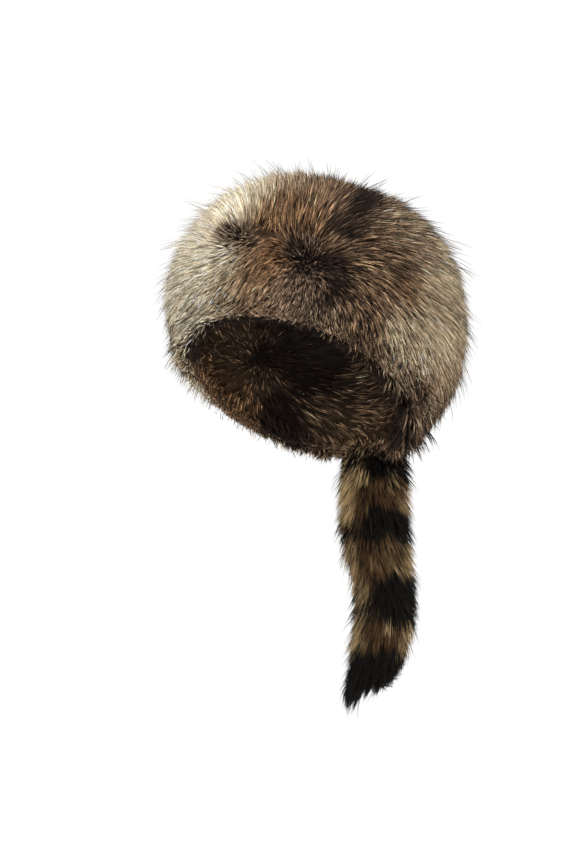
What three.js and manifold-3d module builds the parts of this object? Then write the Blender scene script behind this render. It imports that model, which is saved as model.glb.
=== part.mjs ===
// A coonskin cap: a hollow leather crown with deep fur outside and short fur inside,
// and a ringed tail that hangs from the back of its hem.
// Millimetres, +Z up. The origin is the middle of the head opening, in the plane of the hem.
// +X is the wearer's left and -Y is the wearer's front. The crown leans back over the nape.

import * as THREE from "three";
import { mergeVertices } from "three/addons/utils/BufferGeometryUtils.js";
import Module from "manifold-3d";

const wasm = await Module();
wasm.setup();

// Leather of the crown, measured to its inside face
const openingWidth = 186;
const openingLength = 202;
const shoulderHeight = 60;
const shoulderSwell = 4;
const crownHeight = 160;
const leather = 2;
const tiltBackDegrees = 25;

// Outer fur of the crown, as depths from the leather, and how far it hangs past the hem
const frontHemFurDepth = 15;
const napeHemFurDepth = 5;
const sideFurDepth = 30;
const topFurDepth = 31;
const frontOverhang = 12;
const napeOverhang = 1;

// The nape, where the fur next to the hem is shortest
const napeTurn = 145;

// Places of longer fur: where each lies, how far up and down it reaches and how much it adds
const furSwells = [
  { turn: -125, climb: 0.45, reach: 0.5, swell: 8 },
  { turn: 45, climb: 0.68, reach: 0.3, swell: 8 },
];

// Inside fur of the crown, as its depth from the leather
const insideFurDepth = 5;

// Tail, from the back of the hem down
const tailLength = 232;
const tailWidth = 68;
const tailDepth = 60;
const tailBehindTab = 8;
const coreWidth = 24;
const coreThickness = 14;
const coreEndWidth = 9;
const coreEndThickness = 6;
const coreLength = 200;
const tabWidth = 30;
const tabThickness = 3;
const tabHeight = 22;
const neckDrop = 24;

// Clearance between neighbouring pieces, room beside the tail's top under the crown's fur, and
// room round the crown's fur above the hem's plane, which the tail's fur stops short of
const gap = 0.3;
const tailSideRoom = 4;
const crownFurRoom = 12;

// Locks of fur: how many, their size, and how far their roots and tips lie through the fur's depth
const outerLocks = {
  count: 115,
  length: 56,
  width: 31,
  thickness: 11,
  rootShare: 0.42,
  tipShare: 0.98,
};
const insideLocks = {
  count: 22,
  length: 52,
  width: 34,
  thickness: 4,
  rootShare: 0.6,
  tipShare: 1.25,
};
const tailLocks = {
  rows: 8,
  perRow: 7,
  firstAlong: -0.03,
  lastAlong: 0.72,
  stagger: 0.04,
  length: 54,
  width: 24,
  thickness: 14,
  endShare: 0.55,
  rootShare: 0.45,
  tipShare: 0.98,
};
const lockLengthSpread = 0.15;
const lockTipSpread = 0.05;

// The backing under the locks, as a share of the fur's depth, and its end along the tail
const crownBackingShare = 0.62;
const tailBackingShare = 0.74;
const tailBackingEnd = 0.97;

// Hair whorls: where each lies, how far it reaches and how strongly it pulls
const outerWhorls = [
  { climb: 0.24, turn: -54, reach: 400, pull: 1.0 },
  { climb: 0.31, turn: -84, reach: 30, pull: 3.0 },
];
const insideWhorls = [{ climb: 0.35, turn: 162, reach: 400, pull: 1.0 }];

// Away from the whorls the hair turns down to the hem between these two distances, and it
// also turns down in a low stretch of the climb next to the hem
const outerFall = { start: 110, end: 190, pull: 1.6, hemPull: 1.2, hemClimb: 0.12 };
const insideFall = { start: 150, end: 260, pull: 1.6, hemPull: 0.6, hemClimb: 0.12 };

// The tail as shares of its length, width and depth; sway is sideways, as a share of its width
const tailSections = [
  { along: -0.05, width: 0.88, depth: 0.72, sway: 0.0 },
  { along: 0.02, width: 0.97, depth: 0.9, sway: 0.0 },
  { along: 0.12, width: 1.0, depth: 1.0, sway: 0.0 },
  { along: 0.27, width: 0.98, depth: 1.0, sway: 0.0 },
  { along: 0.42, width: 0.88, depth: 0.95, sway: 0.07 },
  { along: 0.52, width: 0.82, depth: 0.9, sway: 0.16 },
  { along: 0.65, width: 0.84, depth: 0.88, sway: 0.14 },
  { along: 0.78, width: 0.76, depth: 0.8, sway: 0.04 },
  { along: 0.9, width: 0.56, depth: 0.6, sway: -0.16 },
  { along: 0.97, width: 0.26, depth: 0.3, sway: -0.32 },
  { along: 1.0, width: 0.02, depth: 0.02, sway: -0.37 },
];

// Where the core of the tail has its sections below the neck, as shares of its length
const coreStops = [0.25, 0.4, 0.55, 0.7, 0.85, 1];

// How finely the round forms are divided
const crownTurns = 32;
const crownClimbs = [0, 0.15, 0.3, 0.44, 0.58, 0.72, 0.86];
const tailTurns = 12;
const tailStations = 14;

// The crown's straight band takes this share of the climb from hem to top
const bandShare = 0.3;
const degrees = Math.PI / 180;
const tiltBack = tiltBackDegrees * degrees;
const meanOpening = (openingWidth + openingLength) / 4;
const backTurn = 90 * degrees;

function clamp(value, low, high) {
  return Math.min(high, Math.max(low, value));
}

function mix(a, b, share) {
  return a + (b - a) * share;
}

function smooth(value) {
  const share = clamp(value, 0, 1);
  return share * share * (3 - 2 * share);
}

// A repeatable value between 0 and 1 for one lock, for the fur's natural unevenness
function uneven(number, salt) {
  const wave = Math.sin(number * 12.9898 + salt * 78.233) * 43758.5453;
  return wave - Math.floor(wave);
}

// A factor near 1 for one lock
function varied(spread, number, salt) {
  return mix(1 - spread, 1 + spread, uneven(number, salt));
}

// Geometry to solid and back

function asSolid(geometry) {
  const bare = geometry.clone();
  bare.deleteAttribute("normal");
  bare.deleteAttribute("uv");
  const merged = mergeVertices(bare, 1e-4);
  const corners = merged.index.array;
  const kept = [];
  for (let i = 0; i < corners.length; i += 3) {
    const [a, b, c] = [corners[i], corners[i + 1], corners[i + 2]];
    if (a !== b && b !== c && a !== c) kept.push(a, b, c);
  }
  const vertProperties = Float32Array.from(merged.attributes.position.array);
  const triVerts = Uint32Array.from(kept);
  return new wasm.Manifold(new wasm.Mesh({ numProp: 3, vertProperties, triVerts }));
}

function asGeometry(solid) {
  const mesh = solid.getMesh();
  const geometry = new THREE.BufferGeometry();
  const positions = Float32Array.from(mesh.vertProperties);
  geometry.setAttribute("position", new THREE.BufferAttribute(positions, 3));
  geometry.setIndex(new THREE.BufferAttribute(Uint32Array.from(mesh.triVerts), 1));
  geometry.computeVertexNormals();
  return geometry;
}

function join(solids) {
  let round = solids;
  while (round.length > 1) {
    const next = [];
    for (let i = 0; i < round.length; i += 2) {
      next.push(i + 1 < round.length ? round[i].add(round[i + 1]) : round[i]);
    }
    round = next;
  }
  return round[0];
}

// Lays a cone's or cylinder's rings along a path: place(share, across, out) gives the point
// for a share of the length and a spot in the unit circle
function layRings(geometry, place) {
  const points = geometry.attributes.position;
  const pointed = geometry.type === "ConeGeometry";
  for (let i = 0; i < points.count; i += 1) {
    const share = points.getY(i) + 0.5;
    const radius = pointed ? 1 - share : 1;
    const atTip = radius < 1e-6;
    const across = atTip ? 0 : points.getX(i) / radius;
    const out = atTip ? 0 : points.getZ(i) / radius;
    const put = place(share, across, out);
    points.setXYZ(i, put.x, put.y, put.z);
  }
  return geometry;
}

// The crown's form. It is worked out round, in its own frame (across, back, up its axis), and
// made oval at the end, so that every layer keeps its place on the next.

function crownSection(climb, outset) {
  const band = Math.min(1, climb / bandShare);
  const lean = (Math.max(0, (climb - bandShare) / (1 - bandShare)) * Math.PI) / 2;
  const widest = meanOpening + shoulderSwell * Math.sin((band * Math.PI) / 2);
  return {
    radius: (widest + outset) * Math.cos(lean),
    height: shoulderHeight * band + (crownHeight - shoulderHeight + outset) * Math.sin(lean),
    lean,
  };
}

function crownPoint(climb, turn, outset) {
  const { radius, height } = crownSection(climb, outset);
  return new THREE.Vector3(radius * Math.cos(turn), radius * Math.sin(turn), height);
}

function crownNormal(climb, turn) {
  const { lean } = crownSection(climb, 0);
  const level = Math.cos(lean);
  return new THREE.Vector3(Math.cos(turn) * level, Math.sin(turn) * level, Math.sin(lean));
}

function crownPlace(point) {
  const turn = Math.atan2(point.y, point.x);
  const above = point.z - shoulderHeight;
  if (above <= 0) return { climb: (bandShare * point.z) / shoulderHeight, turn };
  const lean = Math.atan2(above, Math.hypot(point.x, point.y));
  return { climb: bandShare + ((1 - bandShare) * lean) / (Math.PI / 2), turn };
}

function makeOval(geometry) {
  const wide = openingWidth / 2 / meanOpening;
  const long = openingLength / 2 / meanOpening;
  return geometry.scale(wide, long, 1);
}

function tip(geometry) {
  return geometry.rotateX(-tiltBack);
}

// A size of the hem's fur that changes from the front to the nape
function roundHem(front, nape, turn) {
  return mix(front, nape, smooth(Math.cos(turn - napeTurn * degrees)));
}

// Depth of the outer fur: it grows from the hem up the band, then slowly to the top
function outerFurDepth(climb, turn) {
  const band = Math.sin((clamp(climb / bandShare, 0, 1) * Math.PI) / 2);
  const rise = clamp((climb - bandShare) / (1 - bandShare), 0, 1);
  const hem = roundHem(frontHemFurDepth, napeHemFurDepth, turn);
  let depth = mix(hem, sideFurDepth, band) + (topFurDepth - sideFurDepth) * rise;
  for (const place of furSwells) {
    const facing = smooth(Math.cos(turn - place.turn * degrees));
    depth += place.swell * facing * smooth(1 - Math.abs(climb - place.climb) / place.reach);
  }
  return depth;
}

// The lowest climb that the outer fur hangs to
function outerFurEnd(turn) {
  return (-roundHem(frontOverhang, napeOverhang, turn) / shoulderHeight) * bandShare;
}

// A shell of the crown between two layers, closed round the hem
function crownShell(innerOutset, outerOutset) {
  const inner = crownClimbs.map((climb) => crownSection(climb, innerOutset(climb)));
  const outer = crownClimbs.map((climb) => crownSection(climb, outerOutset(climb)));
  const profile = [
    new THREE.Vector2(0, crownSection(1, innerOutset(1)).height),
    ...inner.reverse().map((section) => new THREE.Vector2(section.radius, section.height)),
    ...outer.map((section) => new THREE.Vector2(section.radius, section.height)),
    new THREE.Vector2(0, crownSection(1, outerOutset(1)).height),
  ];
  return new THREE.LatheGeometry(profile, crownTurns).rotateX(Math.PI / 2);
}

// Everything within one layer of the crown, and as deep again below the hem
function crownFiller(outset) {
  const sections = crownClimbs.map((climb) => crownSection(climb, outset));
  const profile = [
    new THREE.Vector2(0, -shoulderHeight),
    new THREE.Vector2(meanOpening + outset, -shoulderHeight),
    ...sections.map((section) => new THREE.Vector2(section.radius, section.height)),
    new THREE.Vector2(0, crownSection(1, outset).height),
  ];
  return new THREE.LatheGeometry(profile, crownTurns).rotateX(Math.PI / 2);
}

// Hair leaves each whorl, and turns down to the hem far from the whorls and close to the hem
function hairFlow(point, whorls, fall) {
  const { climb, turn } = crownPlace(point);
  const normal = crownNormal(climb, turn);
  const flow = new THREE.Vector3();
  let nearest = Infinity;
  for (const whorl of whorls) {
    const away = point.clone().sub(crownPoint(whorl.climb, whorl.turn * degrees, leather));
    const distance = away.length();
    nearest = Math.min(nearest, distance);
    away.addScaledVector(normal, -away.dot(normal)).normalize();
    flow.addScaledVector(away, whorl.pull * Math.exp(-((distance / whorl.reach) ** 2)));
  }
  const down = new THREE.Vector3(0, 0, -1);
  down.addScaledVector(normal, -down.dot(normal));
  const farOff = smooth((nearest - fall.start) / (fall.end - fall.start));
  const nearHem = smooth(1 - climb / fall.hemClimb);
  flow.addScaledVector(down, fall.pull * farOff + fall.hemPull * nearHem);
  return flow.normalize();
}

// One lock: it starts in the backing, follows the hair and rises to the fur's surface
function crownLock(spot, locks, layerAt, whorls, fall, lowestClimbAt) {
  const steps = 4;
  const points = [];
  const normals = [];
  let { climb, turn } = spot;
  for (let i = 0; i <= steps; i += 1) {
    const share = i / steps;
    const point = crownPoint(climb, turn, layerAt(share, climb, turn));
    points.push(point);
    normals.push(crownNormal(climb, turn));
    const stride = (locks.length * varied(lockLengthSpread, spot.number, 1)) / steps;
    const next = crownPlace(point.clone().addScaledVector(hairFlow(point, whorls, fall), stride));
    climb = Math.max(lowestClimbAt(next.turn), next.climb);
    turn = next.turn;
  }
  const curve = new THREE.CatmullRomCurve3(points);
  return layRings(new THREE.ConeGeometry(1, 1, 4, 2), (share, across, out) => {
    const at = curve.getPoint(share);
    const along = curve.getTangent(share);
    const side = new THREE.Vector3().crossVectors(along, normals[Math.round(share * steps)]).normalize();
    const lift = new THREE.Vector3().crossVectors(side, along);
    at.addScaledVector(side, (across * locks.width * lockTaper(share)) / 2);
    return at.addScaledVector(lift, (out * locks.thickness * lockTaper(share)) / 2);
  });
}

// A lock is widest a little way from its root and closes to a point
const lockRootWidth = 0.72;
const lockPointing = 1.6;

function lockTaper(share) {
  const closing = Math.sqrt(Math.max(0, 1 - share ** lockPointing));
  return closing * mix(lockRootWidth, 1, Math.sin(Math.PI * share));
}

// Spots spread evenly over the crown, from just below the top down to the hem
function spreadOverCrown(count) {
  const bandArea = shoulderHeight / (crownHeight - shoulderHeight);
  const goldenTurn = Math.PI * (3 - Math.sqrt(5));
  const spots = [];
  for (let number = 0; number < count; number += 1) {
    const area = ((number + 0.5) / count) * (1 + bandArea);
    const lean = Math.asin(clamp(1 - area, 0, 1)) / (Math.PI / 2);
    const onDome = bandShare + (1 - bandShare) * lean;
    const onBand = bandShare * (1 - (area - 1) / bandArea);
    spots.push({ climb: area < 1 ? onDome : onBand, turn: number * goldenTurn, number });
  }
  return spots;
}

// The tail's form, in the part's frame

// A point at the back of the crown, at a height along its axis and a depth from the leather
function backPoint(height, outset) {
  const point = crownPoint((bandShare * height) / shoulderHeight, backTurn, outset);
  point.y *= openingLength / 2 / meanOpening;
  point.x = 0;
  return point.applyAxisAngle(new THREE.Vector3(1, 0, 0), -tiltBack);
}

const tabOutset = leather + gap + tabThickness / 2;
const tabTop = backPoint(tabHeight, tabOutset);
const tabFoot = backPoint(0, tabOutset);
const tailAxisY = tabFoot.y + tailBehindTab;

function tailSection(along) {
  const upper = tailSections.findIndex((section) => section.along >= along - 1e-9);
  const next = tailSections[Math.max(upper, 1)];
  const last = tailSections[Math.max(upper, 1) - 1];
  const share = clamp((along - last.along) / (next.along - last.along), 0, 1);
  return {
    width: tailWidth * mix(last.width, next.width, share),
    depth: tailDepth * mix(last.depth, next.depth, share),
    sway: tailWidth * mix(last.sway, next.sway, share),
  };
}

function tailPoint(along, across, out, share) {
  const section = tailSection(along);
  return new THREE.Vector3(
    section.sway + (across * section.width * share) / 2,
    tailAxisY + (out * section.depth * share) / 2,
    tabFoot.z - tailLength * along,
  );
}

// The core with its tab, grown all round by a clearance where a neighbour is cut to it
function tailCore(grow) {
  const endAlong = coreLength / tailLength;
  const stops = [
    { at: tabTop, width: tabWidth, thickness: tabThickness },
    { at: backPoint(tabHeight / 2, tabOutset), width: tabWidth, thickness: tabThickness },
    { at: tabFoot, width: tabWidth, thickness: tabThickness },
    { at: tailPoint(neckDrop / tailLength, 0, 0, 0), width: coreWidth, thickness: coreThickness },
  ];
  for (const share of coreStops) {
    stops.push({
      at: tailPoint(share * endAlong, 0, 0, 0),
      width: mix(coreWidth, coreEndWidth, share),
      thickness: mix(coreThickness, coreEndThickness, share),
    });
  }
  const last = stops.length - 1;
  const acrossTail = new THREE.Vector3(1, 0, 0);
  return layRings(new THREE.CylinderGeometry(1, 1, 1, tailTurns, last), (share, across, out) => {
    const number = Math.round((1 - share) * last);
    const stop = stops[number];
    const before = stops[Math.max(number - 1, 0)].at;
    const after = stops[Math.min(number + 1, last)].at;
    const along = after.clone().sub(before).normalize();
    const back = new THREE.Vector3().crossVectors(acrossTail, along).normalize();
    const ends = number === 0 ? -grow : number === last ? grow : 0;
    const at = stop.at.clone().addScaledVector(along, ends);
    at.addScaledVector(acrossTail, across * (stop.width / 2 + grow));
    return at.addScaledVector(back, -out * (stop.thickness / 2 + grow));
  });
}

// One lock of the tail: from inside the backing, down and out to the fur's surface
function tailLock(along, turn, number) {
  const length = (tailLocks.length * varied(lockLengthSpread, number, 3)) / tailLength;
  const tipShare = tailLocks.tipShare * varied(lockTipSpread, number, 4);
  const at = (share) => {
    const here = Math.min(1, along + length * share);
    return tailPoint(here, Math.cos(turn), Math.sin(turn), mix(tailLocks.rootShare, tipShare, share));
  };
  const narrowing = mix(1, tailLocks.endShare, clamp(along, 0, 1));
  const width = tailLocks.width * narrowing;
  const thickness = tailLocks.thickness * narrowing;
  const side = new THREE.Vector3(-Math.sin(turn), Math.cos(turn), 0);
  return layRings(new THREE.ConeGeometry(1, 1, 4, 2), (share, across, out) => {
    const tangent = at(Math.min(1, share + 0.1)).sub(at(Math.max(0, share - 0.1))).normalize();
    const lift = new THREE.Vector3().crossVectors(side, tangent).normalize();
    const spot = at(share);
    spot.addScaledVector(side, (across * width * lockTaper(share)) / 2);
    return spot.addScaledVector(lift, (out * thickness * lockTaper(share)) / 2);
  });
}

// Clears the crown's fur from below the hem's plane over the tail's width
const blockSize = 2 * (crownHeight + tailLength);

function blockOverTail() {
  const block = new THREE.BoxGeometry(tailWidth + 2 * tailSideRoom, blockSize, blockSize);
  return tip(block.translate(0, blockSize / 2, -blockSize / 2));
}

// The space of the crown and its fur, above the hem's plane
function crownRoom() {
  const section = (climb) => {
    return crownSection(climb, leather + outerFurDepth(climb, backTurn) + crownFurRoom);
  };
  const profile = [
    new THREE.Vector2(0, -gap),
    ...crownClimbs.map((climb) => {
      const { radius, height } = section(climb);
      return new THREE.Vector2(radius, height - gap);
    }),
    new THREE.Vector2(0, section(1).height),
  ];
  return tip(makeOval(new THREE.LatheGeometry(profile, crownTurns).rotateX(Math.PI / 2)));
}

// The pieces

function crownPelt() {
  return asSolid(tip(makeOval(crownShell(() => 0, () => leather))));
}

function crownFur() {
  const backing = (climb) => leather + crownBackingShare * outerFurDepth(climb, backTurn);
  const solids = [asSolid(makeOval(crownShell(() => leather + gap, backing)))];
  for (const spot of spreadOverCrown(outerLocks.count)) {
    const tipShare = outerLocks.tipShare * varied(lockTipSpread, spot.number, 2);
    const layerAt = (share, climb, turn) => {
      return leather + outerFurDepth(climb, turn) * mix(outerLocks.rootShare, tipShare, share);
    };
    const lock = crownLock(spot, outerLocks, layerAt, outerWhorls, outerFall, outerFurEnd);
    solids.push(asSolid(makeOval(lock)));
  }
  const clearOfLeather = asSolid(makeOval(crownFiller(leather + gap)));
  const round = join(solids).subtract(clearOfLeather);
  const tipped = asSolid(tip(asGeometry(round)));
  return tipped.subtract(asSolid(blockOverTail())).subtract(asSolid(tailCore(gap)));
}

function insideFur() {
  const solids = [asSolid(makeOval(crownShell(() => -insideFurDepth, () => -gap)))];
  for (const spot of spreadOverCrown(insideLocks.count)) {
    const layerAt = (share) => -insideFurDepth * mix(insideLocks.rootShare, insideLocks.tipShare, share);
    const lock = crownLock(spot, insideLocks, layerAt, insideWhorls, insideFall, () => 0);
    solids.push(asSolid(makeOval(lock)));
  }
  const insideLeather = asSolid(makeOval(crownFiller(-gap)));
  const aboveHem = new THREE.BoxGeometry(blockSize, blockSize, blockSize).translate(0, 0, blockSize / 2);
  const round = join(solids).intersect(insideLeather).intersect(asSolid(aboveHem));
  return asSolid(tip(asGeometry(round)));
}

function tailPelt() {
  return asSolid(tailCore(0));
}

function tailFur() {
  const first = tailSections[0].along;
  const body = layRings(new THREE.ConeGeometry(1, 1, tailTurns, tailStations), (share, across, out) => {
    return tailPoint(mix(first, tailBackingEnd, share), across, out, tailBackingShare);
  });
  const solids = [asSolid(body)];
  for (let row = 0; row < tailLocks.rows; row += 1) {
    for (let i = 0; i < tailLocks.perRow; i += 1) {
      const number = row * tailLocks.perRow + i;
      const rowShare = row / (tailLocks.rows - 1);
      const level = mix(tailLocks.firstAlong, tailLocks.lastAlong, rowShare);
      const along = level + tailLocks.stagger * uneven(number, 5);
      const turn = ((i + (row % 2) / 2) / tailLocks.perRow) * 2 * Math.PI;
      solids.push(asSolid(tailLock(along, turn, number)));
    }
  }
  return join(solids).subtract(asSolid(crownRoom())).subtract(asSolid(tailCore(gap)));
}

function piece(name, solid, color, roughness) {
  const material = new THREE.MeshStandardMaterial({ color, roughness, metalness: 0 });
  const mesh = new THREE.Mesh(asGeometry(solid), material);
  mesh.name = name;
  return mesh;
}

const cap = new THREE.Group();
cap.add(piece("crown_pelt", crownPelt(), 0x8a7358, 0.9));
cap.add(piece("crown_fur", crownFur(), 0x6e5a45, 0.95));
cap.add(piece("inside_fur", insideFur(), 0x2a2019, 0.95));
cap.add(piece("tail_pelt", tailPelt(), 0x8a7358, 0.9));
cap.add(piece("tail_fur", tailFur(), 0x4a3826, 0.95));

export default cap;
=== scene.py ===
"""A coonskin cap: its fur and leather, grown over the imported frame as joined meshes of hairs."""

import math

import bpy
import numpy as np
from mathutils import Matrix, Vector


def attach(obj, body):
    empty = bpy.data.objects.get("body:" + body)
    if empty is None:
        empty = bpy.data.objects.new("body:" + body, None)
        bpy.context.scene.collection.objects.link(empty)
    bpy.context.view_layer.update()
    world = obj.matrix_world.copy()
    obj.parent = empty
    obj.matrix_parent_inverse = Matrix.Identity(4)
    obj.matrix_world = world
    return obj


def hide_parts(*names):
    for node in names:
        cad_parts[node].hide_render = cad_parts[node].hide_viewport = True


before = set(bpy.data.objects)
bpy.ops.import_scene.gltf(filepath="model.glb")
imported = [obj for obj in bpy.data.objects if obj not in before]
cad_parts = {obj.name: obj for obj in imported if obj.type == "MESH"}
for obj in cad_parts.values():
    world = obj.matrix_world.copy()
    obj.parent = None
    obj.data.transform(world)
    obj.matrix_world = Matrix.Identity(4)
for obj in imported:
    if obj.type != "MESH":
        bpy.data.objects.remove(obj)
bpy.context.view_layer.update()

# Crown leather in metres, measured to its inside face, as in the solids
OPENING_WIDTH = 0.186
OPENING_LENGTH = 0.202
SHOULDER_HEIGHT = 0.060
SHOULDER_SWELL = 0.004
CROWN_HEIGHT = 0.160
LEATHER = 0.002
TILT_BACK = math.radians(25)
GAP = 0.0003
MEAN_OPENING = (OPENING_WIDTH + OPENING_LENGTH) / 4
BAND_SHARE = 0.3

# Fur depths of the crown, as in the solids
FRONT_HEM_FUR = 0.015
NAPE_HEM_FUR = 0.005
SIDE_FUR = 0.030
TOP_FUR = 0.031
FRONT_OVERHANG = 0.014
NAPE_OVERHANG = 0.001
NAPE_TURN = math.radians(145)
INSIDE_FUR = 0.005

# Places of longer fur: turn in degrees, climb, reach up and down, and what it adds in metres
FUR_SWELLS = ((-125, 0.45, 0.5, 0.008), (45, 0.68, 0.3, 0.008))

# Tail
TAIL_LENGTH = 0.232
TAIL_WIDTH = 0.068
TAIL_DEPTH = 0.060
TAB_THICKNESS = 0.003
TAIL_BEHIND_TAB = 0.008

# along, width, depth, sway: shares of the tail's length and width
TAIL_SECTIONS = np.array([
    (-0.05, 0.88, 0.72, 0.00),
    (0.02, 0.97, 0.90, 0.00),
    (0.12, 1.00, 1.00, 0.00),
    (0.27, 0.98, 1.00, 0.00),
    (0.42, 0.88, 0.95, 0.07),
    (0.52, 0.82, 0.90, 0.16),
    (0.65, 0.84, 0.88, 0.14),
    (0.78, 0.76, 0.80, 0.04),
    (0.90, 0.56, 0.60, -0.16),
    (0.97, 0.26, 0.30, -0.32),
    (1.00, 0.02, 0.02, -0.37),
])

# Camera: the photograph's angle, with the head opening's middle at this spot of its frame
VIEW_TURN = math.radians(40)
VIEW_RISE = math.radians(-11)
VIEW_DISTANCE = 1.75
FRAME_WIDTH_PX = 576
FRAME_HEIGHT_PX = 864
METRES_PER_PX = 0.00085
OPENING_SPOT_PX = (298.5, 386.5)
SENSOR_MM = 36.0
# How far the camera sees, in metres: past the floor's corners
CAMERA_REACH = 200

# Hair whorls: climb, turn in degrees, reach in metres, pull
OUTER_WHORLS = ((0.265, -55, 0.400, 1.0), (0.33, -91, 0.050, 2.5))
INSIDE_WHORLS = ((0.35, 162, 0.400, 1.0),)
# Where hair turns down: start and end distance from the whorls, pull, pull at the hem, its climb
OUTER_FALL = (0.020, 0.080, 0.65, 1.0, 0.10)
INSIDE_FALL = (0.190, 0.300, 1.6, 0.5, 0.10)
# Tufts are shorter up to these distances from a whorl, down to these shares of their length
WHORL_HEART = 0.022
WHORL_HEART_HAIR = 0.10
WHORL_REACH = 0.070
WHORL_REACH_HAIR = 0.6
# The hair's lie swirls by up to about this angle, in patches of this size
SWIRL = 0.08
SWIRL_SIZE = 0.025
# Where hair starts and where the undercoat ends, as shares of the fur's depth, outside and inside
ROOT_SHARE = 0.42
UNDERCOAT_SHARE = 0.52
INSIDE_ROOT_SHARE = 0.4
INSIDE_UNDERCOAT_SHARE = 0.6
# The hem's rim is rounded up to this climb
HEM_CLIMB = 0.10
# Where the hem's hair hangs lower: turn and reach in degrees, share
HANGS = ((48, 130, 1.0), (-120, 32, 0.6))
# This share of the hem's tufts grows from the underside of its rim
UNDER_RIM_SHARE = 0.3
# Over the tail the hem's hair hangs this share of its length
OVER_TAIL_FALL = 0.45

# A tuft's middle line is worked out in this many steps
PATH_STEPS = 5
# How many tufts each part of the fur has, and how many more stand round each whorl
CROWN_TUFTS = 30200
CROWN_WHORL_TUFTS = 550
CROWN_GUARDS = 1600
HEM_GUARDS = 400
INSIDE_TUFTS = 4900
INSIDE_WHORL_TUFTS = 250
HEM_TUFTS = 2600
TAIL_TUFTS = 4600
TAIL_GUARDS = 900
# The crown's tufts are split over this many pieces, from the hem to the top
CROWN_HAIR_PIECES = 4

# Kinds of hair. Columns: hairs in a tuft, the tuft's radius at the root, how far its hairs draw together
# at the tip, a hair's width, where along it has full width, its length as shares of the tuft's path, and
# how far tips part outward and sideways. Sizes are in metres.
STRANDS = {
    "crown": (3, 0.0018, 0.32, 0.00046, (0.62,), (0.75, 1.1), 0.0006, 0.0004),
    "crown_guard": (2, 0.0030, 0.30, 0.00042, (0.35, 0.7), (0.80, 1.1), 0.0020, 0.0020),
    "inside": (4, 0.0020, 0.40, 0.00046, (0.5,), (0.80, 1.1), 0.0006, 0.0008),
    "hem": (4, 0.0018, 0.50, 0.00058, (0.6,), (0.70, 1.1), 0.0005, 0.0005),
    "tail": (4, 0.0017, 0.50, 0.00050, (0.6,), (0.75, 1.1), 0.0008, 0.0008),
    "tail_guard": (3, 0.0024, 0.70, 0.00045, (0.35, 0.7), (0.80, 1.1), 0.0014, 0.0016),
}
# Hairs of a tuft are spread this much further along its lie than across it
TUFT_STRETCH = 1.5
# A path's direction is taken over this share of it
LOOK_AHEAD = 0.05

random = np.random.default_rng(1830)


def paint(red, green, blue):
    """A colour given as sRGB numbers from 0 to 255, in linear light."""
    share = np.array([red, green, blue], float) / 255
    return np.where(share <= 0.04045, share / 12.92, ((share + 0.055) / 1.055) ** 2.4)


COATS = {
    "cream": paint(230, 212, 182),
    "straw": paint(206, 182, 148),
    "fawn": paint(184, 156, 126),
    "rust": paint(148, 112, 80),
    "umber": paint(152, 122, 94),
    "ash": paint(142, 118, 98),
    "soot": paint(62, 46, 38),
}
DARK_HAIR = paint(32, 23, 17)
# Away from all patches the coat has this colour and share of dark hair, counted with this small weight
PLAIN_COAT = "umber"
PLAIN_DARK = 0.4
PLAIN_WEIGHT = 1e-4
# Beyond its reach a patch counts this much, fading over this distance in metres
FAR_SHARE = 0.004
FAR_FADE = 0.03
# How far each hair by itself, rather than its whole tuft, is light or dark
OWN_CHANCE = 0.82
# Light hair keeps this share of its patch's colour inside the crown, and where the hem's hair turns in:
# painted shade, as it is lit less there
INSIDE_PAINTED_SHADE_KEEP = 0.62
HEM_INSIDE_PAINTED_SHADE_KEEP = 0.68

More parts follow.
